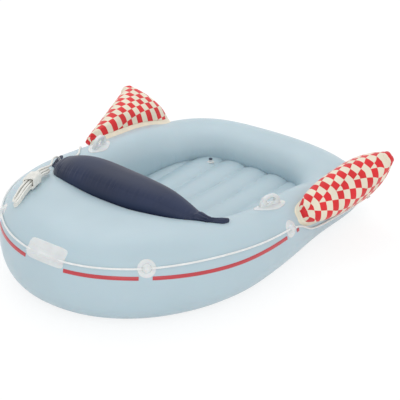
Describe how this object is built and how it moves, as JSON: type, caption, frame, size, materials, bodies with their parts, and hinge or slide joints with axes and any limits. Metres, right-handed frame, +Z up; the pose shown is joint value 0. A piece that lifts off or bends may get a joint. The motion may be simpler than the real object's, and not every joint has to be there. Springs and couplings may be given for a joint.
{
  "type": "inflatable pool float",
  "caption": "Boat-shaped inflatable pool float with a padded bolster, chequered tail fins, oar rests, a grab line and a tow line made up in a hank.",
  "frame": {"origin": "on the ground under the middle of the float's box, without the tow line", "axes": "-Y towards the bow, +X to port, +Z up"},
  "size_m": [1.404, 1.6974, 0.41],
  "materials": {
    "hull_vinyl": "soft semi-gloss pale blue PVC film",
    "floor_vinyl": "soft semi-gloss pale blue PVC film",
    "bolster_vinyl": "satin navy PVC film with drawn seams",
    "fin_vinyl": "satin PVC film in red and cream checks",
    "fin_band_vinyl": "satin cream PVC film",
    "stripe_tape": "satin red PVC tape",
    "clear_trim": "glossy milky PVC",
    "grab_cord": "braided white cord",
    "tow_rope": "braided off-white rope",
    "valve_plastic": "glossy milky PVC"
  },
  "bodies": {
    "float": {"hull_ring": "hull_vinyl", "bottom_sheet": "floor_vinyl", "floor_mattress": "floor_vinyl", "bolster": "bolster_vinyl", "bolster_flange": "clear_trim", "nose_patch": "clear_trim", "eyelet_bow_port": "clear_trim", "eyelet_bow_starboard": "clear_trim", "eyelet_quarter_port": "clear_trim", "eyelet_quarter_starboard": "clear_trim", "eyelet_stern_port": "clear_trim", "eyelet_stern_starboard": "clear_trim", "grab_line": "grab_cord", "fin_port": "fin_vinyl", "fin_starboard": "fin_vinyl", "fin_band_port": "fin_band_vinyl", "fin_band_starboard": "fin_band_vinyl", "rowlock_port": "clear_trim", "rowlock_starboard": "clear_trim", "side_stripe_1": "stripe_tape", "side_stripe_2": "stripe_tape", "side_stripe_3": "stripe_tape", "side_stripe_4": "stripe_tape", "side_stripe_5": "stripe_tape", "side_stripe_6": "stripe_tape", "valve_hull": "valve_plastic", "valve_floor": "valve_plastic", "valve_bolster": "valve_plastic", "valve_fin_port": "valve_plastic", "valve_fin_starboard": "valve_plastic", "tow_line_hank": "tow_rope", "tow_line_wrap": "tow_rope", "tow_line_lead": "tow_rope"},
    "plug_hull": {"plug_hull": "valve_plastic"},
    "plug_floor": {"plug_floor": "valve_plastic"},
    "plug_bolster": {"plug_bolster": "valve_plastic"},
    "plug_fin_port": {"plug_fin_port": "valve_plastic"},
    "plug_fin_starboard": {"plug_fin_starboard": "valve_plastic"}
  },
  "joints": [
    {"name": "plug_hull_pull", "type": "slide", "parent": "float", "child": "plug_hull", "axis": [-0.8949, -0.3022, 0.3285], "range_m": [0, 0.012]},
    {"name": "plug_floor_pull", "type": "slide", "parent": "float", "child": "plug_floor", "axis": [0, 0, 1], "range_m": [0, 0.012]},
    {"name": "plug_bolster_pull", "type": "slide", "parent": "float", "child": "plug_bolster", "axis": [0, 1, 0], "range_m": [0, 0.012]},
    {"name": "plug_fin_port_pull", "type": "slide", "parent": "float", "child": "plug_fin_port", "axis": [0.7328, -0.0247, -0.68], "range_m": [0, 0.012]},
    {"name": "plug_fin_starboard_pull", "type": "slide", "parent": "float", "child": "plug_fin_starboard", "axis": [-0.6308, -0.0543, -0.774], "range_m": [0, 0.012]}
  ]
}
